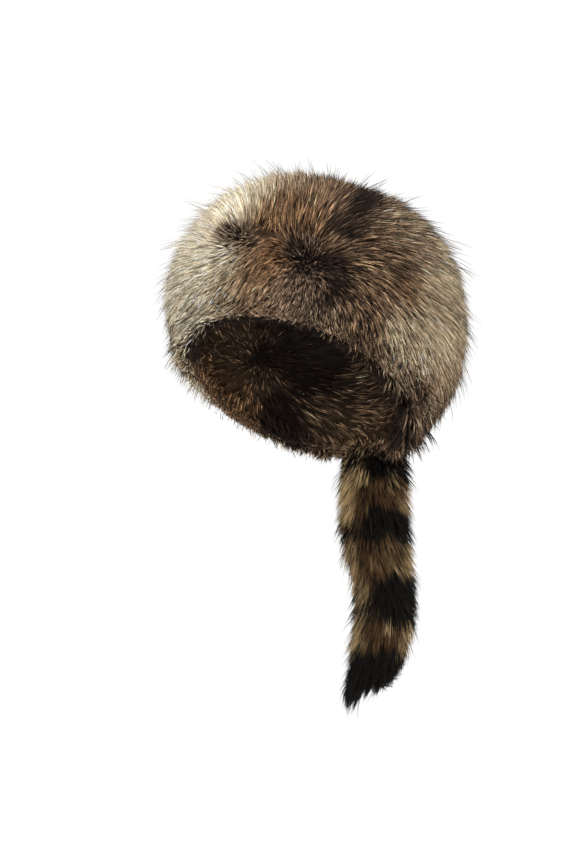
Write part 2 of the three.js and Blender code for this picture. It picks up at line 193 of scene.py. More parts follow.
# The coat's patches: climb, turn in degrees, reach in millimetres, weight, coat, share of dark hair
COAT = (
    (0.24, -55, 9, 2.5, "ash", 0.74),
    (0.30, -89, 9, 2.2, "ash", 0.68),
    (0.23, -78, 8, 1.5, "fawn", 0.62),
    (0.25, -70, 7, 1.2, "rust", 0.24),
    (0.15, -76, 8, 1.2, "fawn", 0.22),
    (0.16, -69, 18, 1.2, "rust", 0.26),
    (0.09, -74, 14, 1.5, "rust", 0.10),
    (0.39, -61, 16, 1.2, "rust", 0.48),
    (0.35, -71, 14, 1.0, "rust", 0.36),
    (0.53, -57, 24, 1.0, "umber", 0.36),
    (0.55, -76, 18, 1.0, "fawn", 0.34),
    (0.43, -71, 11, 1.8, "rust", 0.41),
    (0.43, -80, 9, 1.4, "straw", 0.16),
    (0.61, -94, 20, 1.0, "straw", 0.10),
    (0.48, -91, 22, 1.4, "cream", 0.05),
    (0.49, -110, 28, 1.4, "cream", 0.03),
    (0.32, -106, 28, 1.4, "cream", 0.04),
    (0.17, -106, 22, 1.2, "cream", 0.08),
    (0.17, -91, 16, 1.2, "cream", 0.16),
    (0.06, -82, 14, 1.0, "straw", 0.30),
    (0.03, -91, 11, 1.0, "straw", 0.30),
    (0.00, -106, 14, 1.2, "cream", 0.34),
    (0.09, -117, 16, 1.0, "cream", 0.14),
    (0.66, -37, 8, 2.4, "soot", 0.88),
    (0.58, -38, 9, 2.4, "soot", 0.88),
    (0.50, -40, 9, 2.2, "soot", 0.82),
    (0.39, -42, 9, 2.0, "soot", 0.70),
    (0.31, -45, 6, 1.6, "umber", 0.36),
    (0.23, -41, 9, 2.2, "soot", 0.70),
    (0.16, -37, 9, 2.2, "soot", 0.84),
    (0.07, -40, 7, 1.6, "soot", 0.66),
    (0.71, -62, 5, 3.0, "soot", 0.90),
    (0.05, -57, 16, 1.2, "ash", 0.34),
    (0.09, -48, 12, 1.0, "ash", 0.38),
    (0.01, -65, 14, 1.5, "fawn", 0.12),
    (-0.01, -67, 7, 2.0, "umber", 0.56),
    (-0.01, -77, 7, 2.0, "umber", 0.55),
    (0.01, -36, 8, 1.4, "fawn", 0.36),
    (0.05, -30, 12, 0.8, "umber", 0.50),
    (0.23, -27, 22, 1.0, "umber", 0.37),
    (0.36, -19, 24, 1.0, "umber", 0.50),
    (0.54, -15, 26, 1.0, "fawn", 0.40),
    (0.43, -25, 12, 1.0, "umber", 0.46),
    (0.27, -10, 10, 1.0, "rust", 0.38),
    (0.40, 9, 24, 1.2, "straw", 0.20),
    (0.25, 12, 22, 1.4, "straw", 0.24),
    (0.15, -1, 16, 1.2, "straw", 0.30),
    (0.57, 17, 26, 1.0, "straw", 0.26),
    (0.11, 28, 14, 1.0, "fawn", 0.28),
    (0.02, -22, 7, 1.4, "umber", 0.62),
    (0.00, 21, 9, 1.4, "umber", 0.60),
    (0.00, 8, 8, 1.0, "fawn", 0.46),
    (0.07, 53, 18, 1.0, "umber", 0.55),
    (0.88, -30, 22, 1.4, "umber", 0.55),
    (0.80, 20, 24, 1.4, "soot", 0.70),
    (0.90, 90, 22, 1.4, "soot", 0.78),
    (0.70, 92, 22, 1.6, "soot", 0.78),
    (0.50, 92, 18, 1.4, "soot", 0.72),
    (0.30, 92, 15, 1.2, "soot", 0.66),
    (0.62, 56, 28, 1.0, "umber", 0.45),
    (0.32, 62, 30, 1.0, "fawn", 0.32),
    (0.30, 124, 32, 1.0, "straw", 0.24),
    (0.62, 132, 28, 1.0, "fawn", 0.34),
    (0.20, 160, 26, 1.0, "umber", 0.38),
    (0.45, 172, 34, 1.0, "straw", 0.22),
    (0.70, -170, 26, 1.0, "rust", 0.34),
    (0.30, -150, 34, 1.2, "cream", 0.12),
    (0.04, -145, 20, 1.0, "straw", 0.40),
    (0.72, -125, 26, 1.0, "straw", 0.16),
    (0.05, 100, 30, 1.0, "umber", 0.50),
)

# The inside's patches, in the same columns
INSIDE_COAT = (
    (0.35, 162, 8, 3.0, "soot", 0.86),
    (0.00, -158, 24, 1.4, "rust", 0.00),
    (0.06, -150, 10, 1.4, "umber", 0.08),
    (0.03, -177, 24, 1.2, "rust", 0.30),
    (0.23, -164, 22, 1.0, "umber", 0.40),
    (0.04, 167, 14, 1.2, "rust", 0.18),
    (0.16, 145, 10, 2.0, "soot", 0.84),
    (0.07, 138, 13, 2.0, "soot", 0.84),
    (0.38, 140, 18, 1.8, "soot", 1.00),
    (0.48, 134, 26, 1.2, "soot", 0.84),
    (0.17, 124, 16, 1.0, "umber", 0.44),
    (0.17, 84, 28, 1.2, "umber", 0.10),
    (0.36, 97, 24, 1.2, "umber", 0.52),
    (0.01, 83, 22, 1.2, "umber", 0.20),
    (0.53, 149, 22, 1.6, "soot", 0.96),
    (0.265, 148, 9, 1.6, "umber", 0.52),
    (0.21, 157, 10, 1.6, "umber", 0.44),
    (0.46, 163, 11, 1.6, "umber", 0.62),
    (0.34, -180, 13, 1.2, "umber", 0.46),
    (0.00, 30, 40, 1.4, "soot", 0.85),
    (0.00, -20, 45, 1.6, "soot", 0.88),
    (0.00, -75, 45, 1.6, "soot", 0.88),
    (0.00, -125, 40, 1.6, "soot", 0.86),
    (0.40, 30, 40, 1.0, "umber", 0.55),
    (0.40, -80, 60, 1.0, "umber", 0.55),
    (0.85, 120, 50, 1.2, "soot", 0.75),
)

# Tail rings as shares of its length: middle, half height, both on the faded side, and strength there
TAIL_RINGS = (
    (0.035, 0.082, 0.035, 0.060, 0.72),
    (0.298, 0.070, 0.330, 0.028, 0.65),
    (0.575, 0.092, 0.610, 0.046, 0.65),
    (0.930, 0.160, 0.930, 0.160, 1.00),
)
# How softly a ring ends above and below, and the turn at which rings fade
UPPER_EDGE = 0.025
LOWER_EDGE = 0.060
FADED_TURN = math.radians(240)
# How far a ring's edges waver along the tail, in patches of this size in metres
RING_WAVER = 0.012
RING_WAVER_SIZE = 0.014
TAIL_LIGHT = paint(190, 162, 118)
TAIL_BROWN = paint(86, 63, 39)
TAIL_DARK = paint(15, 12, 9)
# A browner streak runs down the tail: its turns at the hem and from this share of the length on
STREAK_TURNS = (math.radians(-2), math.radians(-50))
STREAK_STEADY = 0.3
# Where the tail's matted body ends
TAIL_BODY_END = 0.82
# The tail's end parts into locks: their number, where they begin, how far their tufts gather, where the
# longest would end, how unevenly they end, and how much sooner a lock's sides end than its middle
TAIL_LOCKS = 13
LOCK_START = 0.70
LOCK_GATHER = 0.8
LOCK_REACH = 1.08
LOCK_SPREAD = 0.05
LOCK_TAPER = 0.09
# No tuft of the tail goes past this share of its length
TAIL_LIMIT = 0.99
# The end is cut on a slant: how much sooner it ends at this turn than across from it
SLANT = 0.18
SLANT_TURN = math.radians(40)
# Above this share of its length the tail's tufts are shorter, down to this share of theirs, and their
# roots stand out to this share of its thickness
TAIL_TOP = 0.12
TAIL_TOP_HAIR = 0.55
TAIL_TOP_ROOT = 0.60
# Share of a tail tuft's length at which its colour is read
SHOWN_SHARE = 0.8

# Floor: half its side, and its height in metres, low enough to stay out of the photograph's frame
FLOOR_HALF_SIDE = 90.0
FLOOR_LEVEL = -2.5


def mix(a, b, share):
    return a + (b - a) * share


def smooth(value):
    share = np.clip(value, 0, 1)
    return share * share * (3 - 2 * share)


def unit(vectors):
    return vectors / np.maximum(np.linalg.norm(vectors, axis=-1, keepdims=True), 1e-12)


WAVE_COUNT = 24
WAVES = random.normal(size=(WAVE_COUNT, 3))
WAVE_STARTS = random.uniform(0, 2 * math.pi, WAVE_COUNT)
# Fits the waves' length to the asked size, and their sum to values between about -1 and 1
WAVE_FIT = 1.6


def ripple(points, size):
    """A soft uneven value between about -1 and 1, with patches of the given size in metres."""
    phase = points @ (WAVES.T * (WAVE_FIT / size)) + WAVE_STARTS
    return np.sin(phase).sum(-1) / math.sqrt(WAVE_COUNT / 2) / WAVE_FIT


# The crown's form, worked out round in its own frame and then made oval and tilted

def crown_section(climb, outset):
    band = np.minimum(1, climb / BAND_SHARE)
    lean = np.maximum(0, (climb - BAND_SHARE) / (1 - BAND_SHARE)) * math.pi / 2
    widest = MEAN_OPENING + SHOULDER_SWELL * np.sin(band * math.pi / 2)
    radius = (widest + outset) * np.cos(lean)
    height = SHOULDER_HEIGHT * band + (CROWN_HEIGHT - SHOULDER_HEIGHT + outset) * np.sin(lean)
    return radius, height, lean


def crown_point(climb, turn, outset):
    radius, height, _ = crown_section(climb, outset)
    return np.stack([radius * np.cos(turn), radius * np.sin(turn), height + 0 * turn], -1)


def crown_normal(climb, turn):
    lean = crown_section(climb, 0)[2]
    level = np.cos(lean)
    return np.stack([np.cos(turn) * level, np.sin(turn) * level, np.sin(lean) + 0 * turn], -1)


def crown_place(points):
    turn = np.arctan2(points[..., 1], points[..., 0])
    above = points[..., 2] - SHOULDER_HEIGHT
    lean = np.arctan2(above, np.hypot(points[..., 0], points[..., 1]))
    on_band = BAND_SHARE * points[..., 2] / SHOULDER_HEIGHT
    on_dome = BAND_SHARE + (1 - BAND_SHARE) * lean / (math.pi / 2)
    return np.where(above <= 0, on_band, on_dome), turn


def crown_to_part(points):
    """From the round crown frame to the part's own: made oval, then tilted back."""
    across = points[..., 0] * OPENING_WIDTH / 2 / MEAN_OPENING
    back = points[..., 1] * OPENING_LENGTH / 2 / MEAN_OPENING
    up = points[..., 2]
    cos, sin = math.cos(TILT_BACK), math.sin(TILT_BACK)
    return np.stack([across, back * cos + up * sin, up * cos - back * sin], -1)


def round_hem(front, nape, turn):
    """A size of the hem's fur that changes from the front to the nape."""
    return mix(front, nape, smooth(np.cos(turn - NAPE_TURN)))


def outer_depth(climb, turn):
    band = np.sin(np.clip(climb / BAND_SHARE, 0, 1) * math.pi / 2)
    rise = np.clip((climb - BAND_SHARE) / (1 - BAND_SHARE), 0, 1)
    at_hem = round_hem(FRONT_HEM_FUR, NAPE_HEM_FUR, turn)
    depth = mix(at_hem, SIDE_FUR, band) + (TOP_FUR - SIDE_FUR) * rise
    for middle, swell_climb, reach, swell in FUR_SWELLS:
        facing = smooth(np.cos(turn - math.radians(middle)))
        depth = depth + swell * facing * smooth(1 - np.abs(climb - swell_climb) / reach)
    return depth


def spot_on_crown(climb, degrees, outset):
    return crown_point(np.array([climb]), np.array([math.radians(degrees)]), outset)


def away_from_whorls(points, whorls):
    """The distance from each point to the nearest whorl."""
    centres = [spot_on_crown(climb, turn, LEATHER) for climb, turn, _, _ in whorls]
    return np.min([np.linalg.norm(points - centre, axis=-1) for centre in centres], axis=0)


def hair_flow(points, climb, turn, whorls, fall):
    """The lie of the hair: away from each whorl, and down where that is far or the hem is near."""
    normal = crown_normal(climb, turn)
    flow = np.zeros_like(points)
    for whorl_climb, whorl_turn, reach, pull in whorls:
        away = points - spot_on_crown(whorl_climb, whorl_turn, LEATHER)
        distance = np.linalg.norm(away, axis=-1)
        away -= normal * (away * normal).sum(-1, keepdims=True)
        flow += unit(away) * (pull * np.exp(-((distance / reach) ** 2)))[:, None]
    down = np.array([0.0, 0.0, -1.0]) + normal * normal[:, 2:3]
    start, end, pull, hem_pull, hem_climb = fall
    strength = pull * smooth((away_from_whorls(points, whorls) - start) / (end - start))
    strength += hem_pull * smooth(1 - climb / hem_climb)
    return unit(flow + down * strength[:, None])


def turned(flow, normal, angle):
    """The flow turned by an angle about the surface's normal."""
    side = np.cross(normal, flow)
    return flow * np.cos(angle)[:, None] + side * np.sin(angle)[:, None]


def spread_over_crown(count):
    """Random spots spread evenly over the crown's area, as climbs and turns."""
    band_area = SHOULDER_HEIGHT / (CROWN_HEIGHT - SHOULDER_HEIGHT)
    area = random.random(count) * (1 + band_area)
    lean = np.arcsin(np.clip(1 - area, 0, 1)) / (math.pi / 2)
    on_dome = BAND_SHARE + (1 - BAND_SHARE) * lean
    on_band = mix(BAND_SHARE, 0, np.clip((area - 1) / band_area, 0, 1))
    return np.where(area < 1, on_dome, on_band), random.uniform(-math.pi, math.pi, count)


def gather_at_whorls(climb, turn, whorls, extra):
    """The spots, with more of them close round each whorl, where hair would part too thinly."""
    climbs, turns = [climb], [turn]
    for whorl_climb, whorl_turn, _, _ in whorls:
        middle = spot_on_crown(whorl_climb, whorl_turn, LEATHER)
        normal = crown_normal(np.array([whorl_climb]), np.array([math.radians(whorl_turn)]))
        offset = random.normal(size=(extra, 3)) * WHORL_HEART / 2
        offset -= normal * (offset @ normal[0])[:, None]
        near_climb, near_turn = crown_place(middle + offset)
        climbs.append(near_climb)
        turns.append(near_turn)
    return np.concatenate(climbs), np.concatenate(turns)


def crown_paths(climb, turn, length, layer, whorls, fall, wander, lowest):
    """The middle line of each tuft over the crown, the surface's normals, and where its tip shows.

    layer gives a tuft's height over the leather's inside face along it, wander how unevenly tufts lie, and
    lowest the climb that they may hang down to.
    """
    wander_angle = random.normal(0, wander, len(climb))
    away = away_from_whorls(crown_point(climb, turn, LEATHER), whorls)
    length = length * mix(WHORL_HEART_HAIR, 1, smooth(away / WHORL_HEART))
    length = length * mix(WHORL_REACH_HAIR, 1, smooth(away / WHORL_REACH))
    points, normals = [], []
    for step in range(PATH_STEPS + 1):
        place = crown_point(climb, turn, layer(step / PATH_STEPS, climb, turn))
        normal = crown_normal(climb, turn)
        points.append(place)
        normals.append(normal)
        flow = hair_flow(place, climb, turn, whorls, fall)
        swirl = wander_angle + SWIRL * ripple(place, SWIRL_SIZE)
        ahead = place + turned(flow, normal, swirl) * (length / PATH_STEPS)[:, None]
        if step == PATH_STEPS - 1:
            shown = climb, turn
        climb, turn = crown_place(ahead)
        climb = np.maximum(climb, lowest(turn))
    return crown_to_part(np.stack(points, 1)), crown_to_part(np.stack(normals, 1)), shown


def along_path(stops, share):
    """Points at shares of the way along each row of stops; a share past 1 runs straight on."""
    scaled = share * (stops.shape[1] - 1)
    first = np.clip(np.floor(scaled).astype(int), 0, stops.shape[1] - 2)
    rows = np.arange(len(stops))
    low, high = stops[rows, first], stops[rows, first + 1]
    return low + (high - low) * (scaled - first)[:, None]


# Hairs: each is a closed three-sided spindle, pointed at its root and its tip

SIDES = 3
RING_ANGLES = np.arange(SIDES) * 2 * math.pi / SIDES


def grow_hairs(paths, normals, kind):
    """Hairs of one of the kinds in STRANDS round each tuft's middle line."""
    per_tuft, spread, clump, width, rings, reach, lift, stray = STRANDS[kind]
    tuft = np.repeat(np.arange(len(paths)), per_tuft)
    count = len(tuft)
    stops, ups = paths[tuft], normals[tuft]
    radius = spread * np.sqrt(random.random(count))
    angle = random.uniform(0, 2 * math.pi, count)
    length = random.uniform(*reach, count)
    parting = random.normal(0, stray, count)
    rising = random.normal(0, lift, count)
    shares = [0.0, *rings, 1.0]
    centres = []
    for share in shares:
        middle = along_path(stops, share * length)
        tangent = unit(along_path(stops, share * length + LOOK_AHEAD) - middle)
        normal = unit(along_path(ups, np.minimum(share * length, 1.0)))
        side = unit(np.cross(tangent, normal))
        keep = 1 - clump * share
        offset = side * (np.cos(angle) * radius * keep + parting * share)[:, None]
        offset += tangent * (np.sin(angle) * radius * TUFT_STRETCH * keep)[:, None]
        offset += normal * (rising * share)[:, None]
        centres.append(middle + offset)
    return {
        "centres": np.stack(centres, 1),
        "shares": np.array(shares),
        "up": ups[:, 0],
        "tuft": tuft,
        "width": width * random.uniform(0.75, 1.25, count),
    }


def hair_arrays(hairs):
    """Vertices, faces and each vertex's place among the hair's stations."""
    centres = hairs["centres"]
    count, stations = centres.shape[:2]
    tangent = unit(np.gradient(centres, axis=1))
    side = unit(np.cross(tangent, hairs["up"][:, None, :]))
    inward = np.cross(tangent, side)
    verts = [centres[:, 0]]
    for ring in range(1, stations - 1):
        for angle in RING_ANGLES:
            spoke = side[:, ring] * math.cos(angle) + inward[:, ring] * math.sin(angle)
            verts.append(centres[:, ring] + spoke * hairs["width"][:, None] / 2)
    verts.append(centres[:, -1])
    verts = np.stack(verts, 1)
    last = verts.shape[1] - 1
    faces = []
    for s in range(SIDES):
        t = (s + 1) % SIDES
        faces.append((0, 1 + s, 1 + t))
        for ring in range(stations - 3):
            low, high = 1 + ring * SIDES, 1 + (ring + 1) * SIDES
            faces += [(low + s, high + s, high + t), (low + s, high + t, low + t)]
        faces.append((last - SIDES + s, last, last - SIDES + t))
    start = (np.arange(count) * (last + 1))[:, None, None]
    tris = (np.array(faces)[None] + start).reshape(-1, 3)
    station = np.concatenate([[0], np.repeat(np.arange(1, stations - 1), SIDES), [stations - 1]])
    return verts, tris, station


def new_object(name, verts, quads, tris, colours):
    """A smooth mesh object from arrays, with its colours in a vertex attribute."""
    mesh = bpy.data.meshes.new(name)
    mesh.vertices.add(len(verts))
    mesh.vertices.foreach_set("co", verts.astype(np.float32).ravel())
    corners = np.concatenate([quads.ravel(), tris.ravel()]).astype(np.int32)
    mesh.loops.add(len(corners))
    mesh.loops.foreach_set("vertex_index", corners)
    starts = np.concatenate([np.arange(len(quads)) * 4, len(quads) * 4 + np.arange(len(tris)) * 3])
    mesh.polygons.add(len(starts))
    mesh.polygons.foreach_set("loop_start", starts.astype(np.int32))
    mesh.update(calc_edges=True)
    mesh.polygons.foreach_set("use_smooth", np.ones(len(starts), bool))
    layer = mesh.color_attributes.new("coat", "FLOAT_COLOR", "POINT")
    layer.data.foreach_set("color", np.c_[colours, np.ones(len(colours))].astype(np.float32).ravel())
    piece = bpy.data.objects.new(name, mesh)
    bpy.context.scene.collection.objects.link(piece)
    return piece, corners


def strand_map(piece, corners, count, station):
    """A UV map with a small cell for each hair, so that a baked picture keeps its own colour."""
    cells = math.ceil(math.sqrt(count))
    column, row = np.arange(count) % cells, np.arange(count) // cells
    rings = (len(station) - 2) // SIDES
    around = np.concatenate([[0.5], np.tile([0.0, 0.5, 1.0], rings), [0.5]])
    across = (column[:, None] + 0.1 + 0.8 * around) / cells
    up = (row[:, None] + 0.1 + 0.8 * station / station[-1]) / cells
    places = np.stack([across, up], -1).reshape(-1, 2)
    layer = piece.data.uv_layers.new(name="OFBake")
    layer.uv.foreach_set("vector", places[corners].astype(np.float32).ravel())


def dress(piece, material, slot, *nodes):
    piece.data.materials.append(material)
    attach(piece, "root")
    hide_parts(*nodes)


def add_hairs(name, hairs, colours, material, node):
    """One piece of joined hairs; colours has a row for each hair and a column for each station."""
    verts, tris, station = hair_arrays(hairs)
    per_vertex = colours[:, station].reshape(-1, 3)
    piece, corners = new_object(name, verts.reshape(-1, 3), np.empty((0, 4), int), tris, per_vertex)
    strand_map(piece, corners, len(verts), station)
    dress(piece, material, node, node)


# Colours of the coat

def coat_at(climb, turn, patches):
    """The light hair's colour and the share of dark hair at spots on the crown."""
    spots = crown_point(climb, turn, SIDE_FUR / 2)
    weight = np.full(len(climb), PLAIN_WEIGHT)
    colour = COATS[PLAIN_COAT][None] * weight[:, None]
    dark = PLAIN_DARK * weight
    for patch_climb, patch_turn, reach, strength, coat, dark_share in patches:
        centre = spot_on_crown(patch_climb, patch_turn, SIDE_FUR / 2)
        distance = np.linalg.norm(spots - centre, axis=-1)
        close = np.exp(-((distance / (reach / 1000)) ** 2))
        near = strength * (close + FAR_SHARE * np.exp(-distance / FAR_FADE))
        colour += COATS[coat][None] * near[:, None]
        dark += dark_share * near
        weight += near
    return colour / weight[:, None], dark / weight


def painted_root_shade(dark_share):
    """How dark hair is at its root, where the coat has this share of dark hair: partly the underfur's
    darker colour and partly painted shade between the tufts.
    """
    return np.clip(0.15 + 1.7 * dark_share, 0, 1)


def coat_colours(hairs, light, dark_share, dark_hair, tip_dark, tones=(0.12, 0.56)):
    """The colour of each hair at each of its stations, with light and dark hairs in their local shares.

    tip_dark is the share of dark tips in a dark coat, and tones how much tufts and single hairs differ.
    """
    tuft = hairs["tuft"]
    tufts, count = tuft.max() + 1, len(tuft)
    chance = mix(random.random(tufts)[tuft], random.random(count), OWN_CHANCE)
    is_dark = smooth((dark_share[tuft] - chance) / 0.25 + 0.5)[:, None]
    tuft_tone = np.exp(random.normal(0, tones[0], tufts))[tuft]
    tone = tuft_tone * np.exp(random.normal(0, tones[1], count))
    body = mix(light[tuft], dark_hair[None], is_dark) * tone[:, None]
    shade = painted_root_shade(dark_share[tuft])[:, None]
    # Roots are painted darker than the hair's body: partly the underfur's colour and partly painted shade
    # between the tufts
    root = mix(body * 0.5, dark_hair[None] * 0.8, shade)
    tip_chance = tip_dark * np.clip(0.25 + 2 * dark_share[tuft], 0, 1)
    tipped = (random.random(count) < tip_chance)[:, None]
    tip = np.where(tipped, mix(body, dark_hair[None], 0.85), body * 1.1)
    colours = []
    for share in hairs["shares"]:
        colour = mix(root, body, smooth(share / 0.6))
        colours.append(mix(colour, tip, smooth((share - 0.6) / 0.4)))
    return np.clip(np.stack(colours, 1), 0, 1)


# Materials

def fur_material(name, roughness, specular, grain, grain_size):
    """Hair: its colour from the coat attribute, varied by a fine noise of a grain size in metres."""
    material = bpy.data.materials.new(name)
    material.use_nodes = True
    tree = material.node_tree
    shader = tree.nodes["Principled BSDF"]
    coat = tree.nodes.new("ShaderNodeAttribute")
    coat.attribute_name = "coat"
    spot = tree.nodes.new("ShaderNodeTexCoord")
    noise = tree.nodes.new("ShaderNodeTexNoise")
    noise.inputs["Scale"].default_value = 1 / grain_size
    noise.inputs["Detail"].default_value = 2.0
    tree.links.new(spot.outputs["Object"], noise.inputs["Vector"])
    level = tree.nodes.new("ShaderNodeMapRange")
    level.inputs["From Min"].default_value = 0.3
    level.inputs["From Max"].default_value = 0.7
    level.inputs["To Min"].default_value = 1 - grain
    level.inputs["To Max"].default_value = 1 + grain
    tree.links.new(noise.outputs["Fac"], level.inputs["Value"])
    scaled = tree.nodes.new("ShaderNodeVectorMath")
    scaled.operation = "SCALE"
    tree.links.new(coat.outputs["Color"], scaled.inputs[0])
    tree.links.new(level.outputs["Result"], scaled.inputs["Scale"])
    tree.links.new(scaled.outputs["Vector"], shader.inputs["Base Color"])
    shader.inputs["Roughness"].default_value = roughness
    shader.inputs["Specular IOR Level"].default_value = specular
    return material


def leather_material(name):
    """The matt skin side of the pelt: blotched tan with a fine pebbled bump."""
    material = bpy.data.materials.new(name)
    material.use_nodes = True
    tree = material.node_tree
    shader = tree.nodes["Principled BSDF"]
    spot = tree.nodes.new("ShaderNodeTexCoord")
    blotch = tree.nodes.new("ShaderNodeTexNoise")
    blotch.inputs["Scale"].default_value = 40.0
    blotch.inputs["Detail"].default_value = 5.0
    tree.links.new(spot.outputs["Object"], blotch.inputs["Vector"])
    ramp = tree.nodes.new("ShaderNodeValToRGB")
    ramp.color_ramp.elements[0].color = (*paint(74, 54, 38), 1)
    ramp.color_ramp.elements[1].color = (*paint(128, 100, 74), 1)
    tree.links.new(blotch.outputs["Fac"], ramp.inputs["Fac"])
    tree.links.new(ramp.outputs["Color"], shader.inputs["Base Color"])
    pebble = tree.nodes.new("ShaderNodeTexVoronoi")
    pebble.inputs["Scale"].default_value = 900.0
    tree.links.new(spot.outputs["Object"], pebble.inputs["Vector"])
    bump = tree.nodes.new("ShaderNodeBump")
    bump.inputs["Strength"].default_value = 0.3
    bump.inputs["Distance"].default_value = 0.0004
    tree.links.new(pebble.outputs["Distance"], bump.inputs["Height"])
    tree.links.new(bump.outputs["Normal"], shader.inputs["Normal"])
    shader.inputs["Roughness"].default_value = 0.85
    return material


# Pieces

def hem_round(climb):
    """Thins an undercoat to nothing at the hem, along a quarter circle."""
    return np.sqrt(1 - (1 - np.clip(climb / HEM_CLIMB, 0, 1)) ** 2)


def crown_shell(name, outer, inner, turns, climbs, colours, material, node):
    """A closed shell of the crown between two layers, given as heights over the leather's inside face."""
    climb = np.linspace(0, 1, climbs, endpoint=False)
    turn = np.linspace(0, 2 * math.pi, turns, endpoint=False)
    flat_climb, flat_turn = (grid.ravel() for grid in np.meshgrid(climb, turn, indexing="ij"))
    outside = crown_point(flat_climb, flat_turn, outer(flat_climb, flat_turn))
    inside = crown_point(flat_climb, flat_turn, inner(flat_climb, flat_turn))
    pole = np.array([1.0]), np.array([0.0])
    tops = [crown_point(*pole, layer(*pole)) for layer in (outer, inner)]
    verts = crown_to_part(np.concatenate([outside, inside, *tops]))
    index = np.arange(climbs * turns).reshape(climbs, turns)
    across = np.roll(index, -1, axis=1)
    faces_out = np.stack([index[:-1], across[:-1], across[1:], index[1:]], -1).reshape(-1, 4)
    faces_in = faces_out[:, ::-1] + climbs * turns
    hem = np.stack([index[0] + climbs * turns, across[0] + climbs * turns, across[0], index[0]], -1)
    top_out = np.full(turns, 2 * climbs * turns)
    caps = [
        np.stack([index[-1], across[-1], top_out], -1),
        np.stack([across[-1] + climbs * turns, index[-1] + climbs * turns, top_out + 1], -1),
    ]
    tint = colours(flat_climb, flat_turn)
    # The inner layer's face is painted at half the colour, as painted shade
    tints = np.concatenate([tint, tint * 0.5, tint[-1:], tint[-1:] * 0.5])
    quads = np.concatenate([faces_out, faces_in, hem])
    piece, _ = new_object(name, verts, quads, np.concatenate(caps), tints)
    dress(piece, material, node, node)


def outer_lowest(turn):
    """The lowest climb that the outer fur may hang to."""
    return -round_hem(FRONT_OVERHANG, NAPE_OVERHANG, turn) / SHOULDER_HEIGHT * BAND_SHARE


def hang(least, most, turn):
    """A size of the hem's hair that is greatest where it hangs lowest."""
    share = np.zeros_like(turn)
    for middle, reach, size in HANGS:
        apart = np.degrees(np.arccos(np.cos(turn - math.radians(middle))))
        share = np.maximum(share, size * smooth(1 - apart / reach))
    return mix(least, most, share)


def dress_crown(material):
    """The crown's outer fur: a matted undercoat, then tufts of hair over it, then long guard hairs."""
    def undercoat_outer(climb, turn):
        rough = 1 + 0.10 * ripple(crown_point(climb, turn, SIDE_FUR), 0.008)
        return LEATHER + GAP * 2 + UNDERCOAT_SHARE * outer_depth(climb, turn) * rough * hem_round(climb)

    def shaded_undercoat_colour(climb, turn):
        light, dark = coat_at(climb, turn, COAT)
        # Painted at half the light hair's colour and toward dark hair with the roots' painted shade:
        # partly darker underfur, partly painted shade deep in the fur
        return mix(light * 0.5, DARK_HAIR[None], painted_root_shade(dark[:, None]))

    def undercoat_inner(climb, turn):
        return LEATHER + GAP + 0 * climb

    crown_shell(
        "crown_undercoat", undercoat_outer, undercoat_inner, turns=96, climbs=40,
        colours=shaded_undercoat_colour, material=material, node="crown_fur",
    )
    climb, turn = gather_at_whorls(*spread_over_crown(CROWN_TUFTS), OUTER_WHORLS, CROWN_WHORL_TUFTS)
    tufts = len(climb)
    root = ROOT_SHARE * hem_round(climb)
    tip = random.uniform(0.82, 1.04, tufts)
    ragged = random.uniform(0.2, 1.0, tufts)

    def layer(share, climb, turn):
        return LEATHER + outer_depth(climb, turn) * mix(root, tip, share**0.85)

    def lowest(turn):
        return outer_lowest(turn) * ragged * hang(0.75, 1.8, turn)

    length = (0.004 + 0.62 * outer_depth(climb, turn)) * random.uniform(0.75, 1.25, tufts)
    paths, normals, shown = crown_paths(
        climb, turn, length, layer, OUTER_WHORLS, OUTER_FALL, wander=0.06, lowest=lowest,
    )
    light, dark = coat_at(*shown, COAT)
    dark = np.clip(dark + 0.08 * ripple(crown_point(*shown, SIDE_FUR), 0.010), 0.02, 0.98)
    order = np.argsort(climb, kind="stable")
    for number, chosen in enumerate(np.array_split(order, CROWN_HAIR_PIECES), 1):
        hairs = grow_hairs(paths[chosen], normals[chosen], "crown")
        colours = coat_colours(hairs, light[chosen], dark[chosen], DARK_HAIR, tip_dark=0.42)
        add_hairs(f"crown_hair_{number}", hairs, colours, material, "crown_fur")

    climb, turn = spread_over_crown(CROWN_GUARDS)
    climb = np.append(climb, random.uniform(0, 0.08, HEM_GUARDS))
    turn = np.append(turn, random.uniform(-math.pi, math.pi, HEM_GUARDS))
    guards = len(climb)
    tip = random.uniform(1.0, 1.32, guards)
    length = (0.006 + 0.85 * outer_depth(climb, turn)) * random.uniform(0.8, 1.2, guards)

    def guard_layer(share, climb, turn):
        return LEATHER + outer_depth(climb, turn) * mix(ROOT_SHARE, tip, share)

    def guard_lowest(turn):
        return 2 * outer_lowest(turn) - hang(0.008, 0.04, turn)

    paths, normals, shown = crown_paths(
        climb, turn, length, guard_layer, OUTER_WHORLS, OUTER_FALL, wander=0.14, lowest=guard_lowest,
    )
    light, dark = coat_at(*shown, COAT)
    hairs = grow_hairs(paths, normals, "crown_guard")
    colours = coat_colours(hairs, light * 0.8, np.clip(dark + 0.20, 0, 1), DARK_HAIR, tip_dark=1.6)
    add_hairs("crown_guard_hair", hairs, colours, material, "crown_fur")


